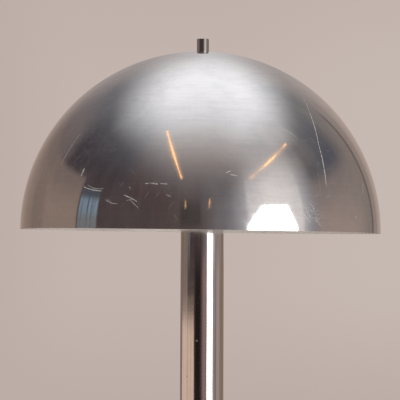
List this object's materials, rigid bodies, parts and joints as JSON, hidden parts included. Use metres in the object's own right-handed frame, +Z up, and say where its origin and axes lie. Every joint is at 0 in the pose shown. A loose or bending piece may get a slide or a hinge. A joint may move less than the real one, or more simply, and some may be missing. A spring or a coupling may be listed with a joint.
{
  "type": "mushroom floor lamp",
  "caption": "Mushroom floor lamp: hemispherical spun-aluminium shade with a cylindrical finial on a thick chromed stem and round base, with a bulb cluster inside.",
  "frame": {"origin": "on the floor at the middle of the base", "axes": "+Z up along the stem, -Y towards someone who faces the lamp, +X to their right; the cord inlet is on the +Y side"},
  "size_m": [0.4999, 0.5, 1.4999],
  "materials": {
    "spun_aluminium": "spun and satin polished outside, with fine turning marks; white lacquer inside",
    "polished_nut": "turned and polished",
    "chrome": "bright chrome plate with a few pits",
    "nickel": "satin nickel plate",
    "zinc_steel": "zinc plated",
    "plain_steel": "turned, bare",
    "black_steel": "black oxide",
    "cast_iron": "black enamel over a sand-cast skin",
    "felt": "pressed felt",
    "black_plastic": "moulded, satin",
    "bakelite": "moulded phenolic, semi-gloss",
    "porcelain": "glazed porcelain",
    "brass": "pressed brass",
    "bulb_cap_metal": "rolled thread, black glass insulator",
    "opal_glass": "opal white",
    "rubber": "moulded",
    "fibre": "vulcanised fibre",
    "lead_pvc": "insulated flex"
  },
  "bodies": {
    "lamp_body": {"arm_1": "nickel", "arm_2": "nickel", "arm_3": "nickel", "arm_leads": "lead_pvc", "arm_nuts": "zinc_steel", "base_ballast": "cast_iron", "base_cover": "chrome", "base_pad": "felt", "cap_screws": "black_steel", "centre_contact_1": "brass", "centre_contact_2": "brass", "centre_contact_3": "brass", "cluster_hub": "nickel", "cord_bush": "black_plastic", "foot_screws": "zinc_steel", "foot_washers": "zinc_steel", "holder_cap_1": "bakelite", "holder_cap_2": "bakelite", "holder_cap_3": "bakelite", "holder_insert_1": "porcelain", "holder_insert_2": "porcelain", "holder_insert_3": "porcelain", "holder_skirt_1": "bakelite", "holder_skirt_2": "bakelite", "holder_skirt_3": "bakelite", "hub_lid": "nickel", "hub_nipple": "zinc_steel", "lid_screws": "zinc_steel", "nipple_nuts": "zinc_steel", "rod_sleeve": "nickel", "screw_shell_1": "brass", "screw_shell_2": "brass", "screw_shell_3": "brass", "shade_rod": "zinc_steel", "shade_seat": "zinc_steel", "stem_cap": "plain_steel", "stem_foot": "plain_steel", "stem_tube": "chrome", "terminal_block": "porcelain"},
    "shade": {"shade": "spun_aluminium", "shade_grommet": "rubber"},
    "finial_washer": {"finial_washer": "fibre"},
    "finial": {"finial": "polished_nut"},
    "bulb_1": {"bulb_cap_1": "bulb_cap_metal", "bulb_glass_1": "opal_glass"},
    "bulb_2": {"bulb_cap_2": "bulb_cap_metal", "bulb_glass_2": "opal_glass"},
    "bulb_3": {"bulb_cap_3": "bulb_cap_metal", "bulb_glass_3": "opal_glass"}
  },
  "joints": [
    {"name": "shade_lift", "type": "slide", "parent": "lamp_body", "child": "shade", "axis": [0, 0, 1], "range_m": [0, 0.2746]},
    {"name": "finial_rise", "type": "slide", "parent": "shade", "child": "finial_washer", "axis": [0, 0, 1], "range_m": [0, 0.01]},
    {"name": "finial_turn", "type": "hinge", "parent": "finial_washer", "child": "finial", "pos_m": [0, 0, 1.49], "axis": [0, 0, 1], "range_deg": [0, 3595]},
    {"name": "bulb_1_unscrew", "type": "slide", "parent": "lamp_body", "child": "bulb_1", "axis": [0, 0.6428, 0.766], "range_m": [0, 0.016]},
    {"name": "bulb_2_unscrew", "type": "slide", "parent": "lamp_body", "child": "bulb_2", "axis": [-0.5567, -0.3214, 0.766], "range_m": [0, 0.016]},
    {"name": "bulb_3_unscrew", "type": "slide", "parent": "lamp_body", "child": "bulb_3", "axis": [0.5567, -0.3214, 0.766], "range_m": [0, 0.016]}
  ],
  "couplings": [
    {"joint": "finial_rise", "follows": "finial_turn", "m_per_rad": 0.00015915}
  ]
}
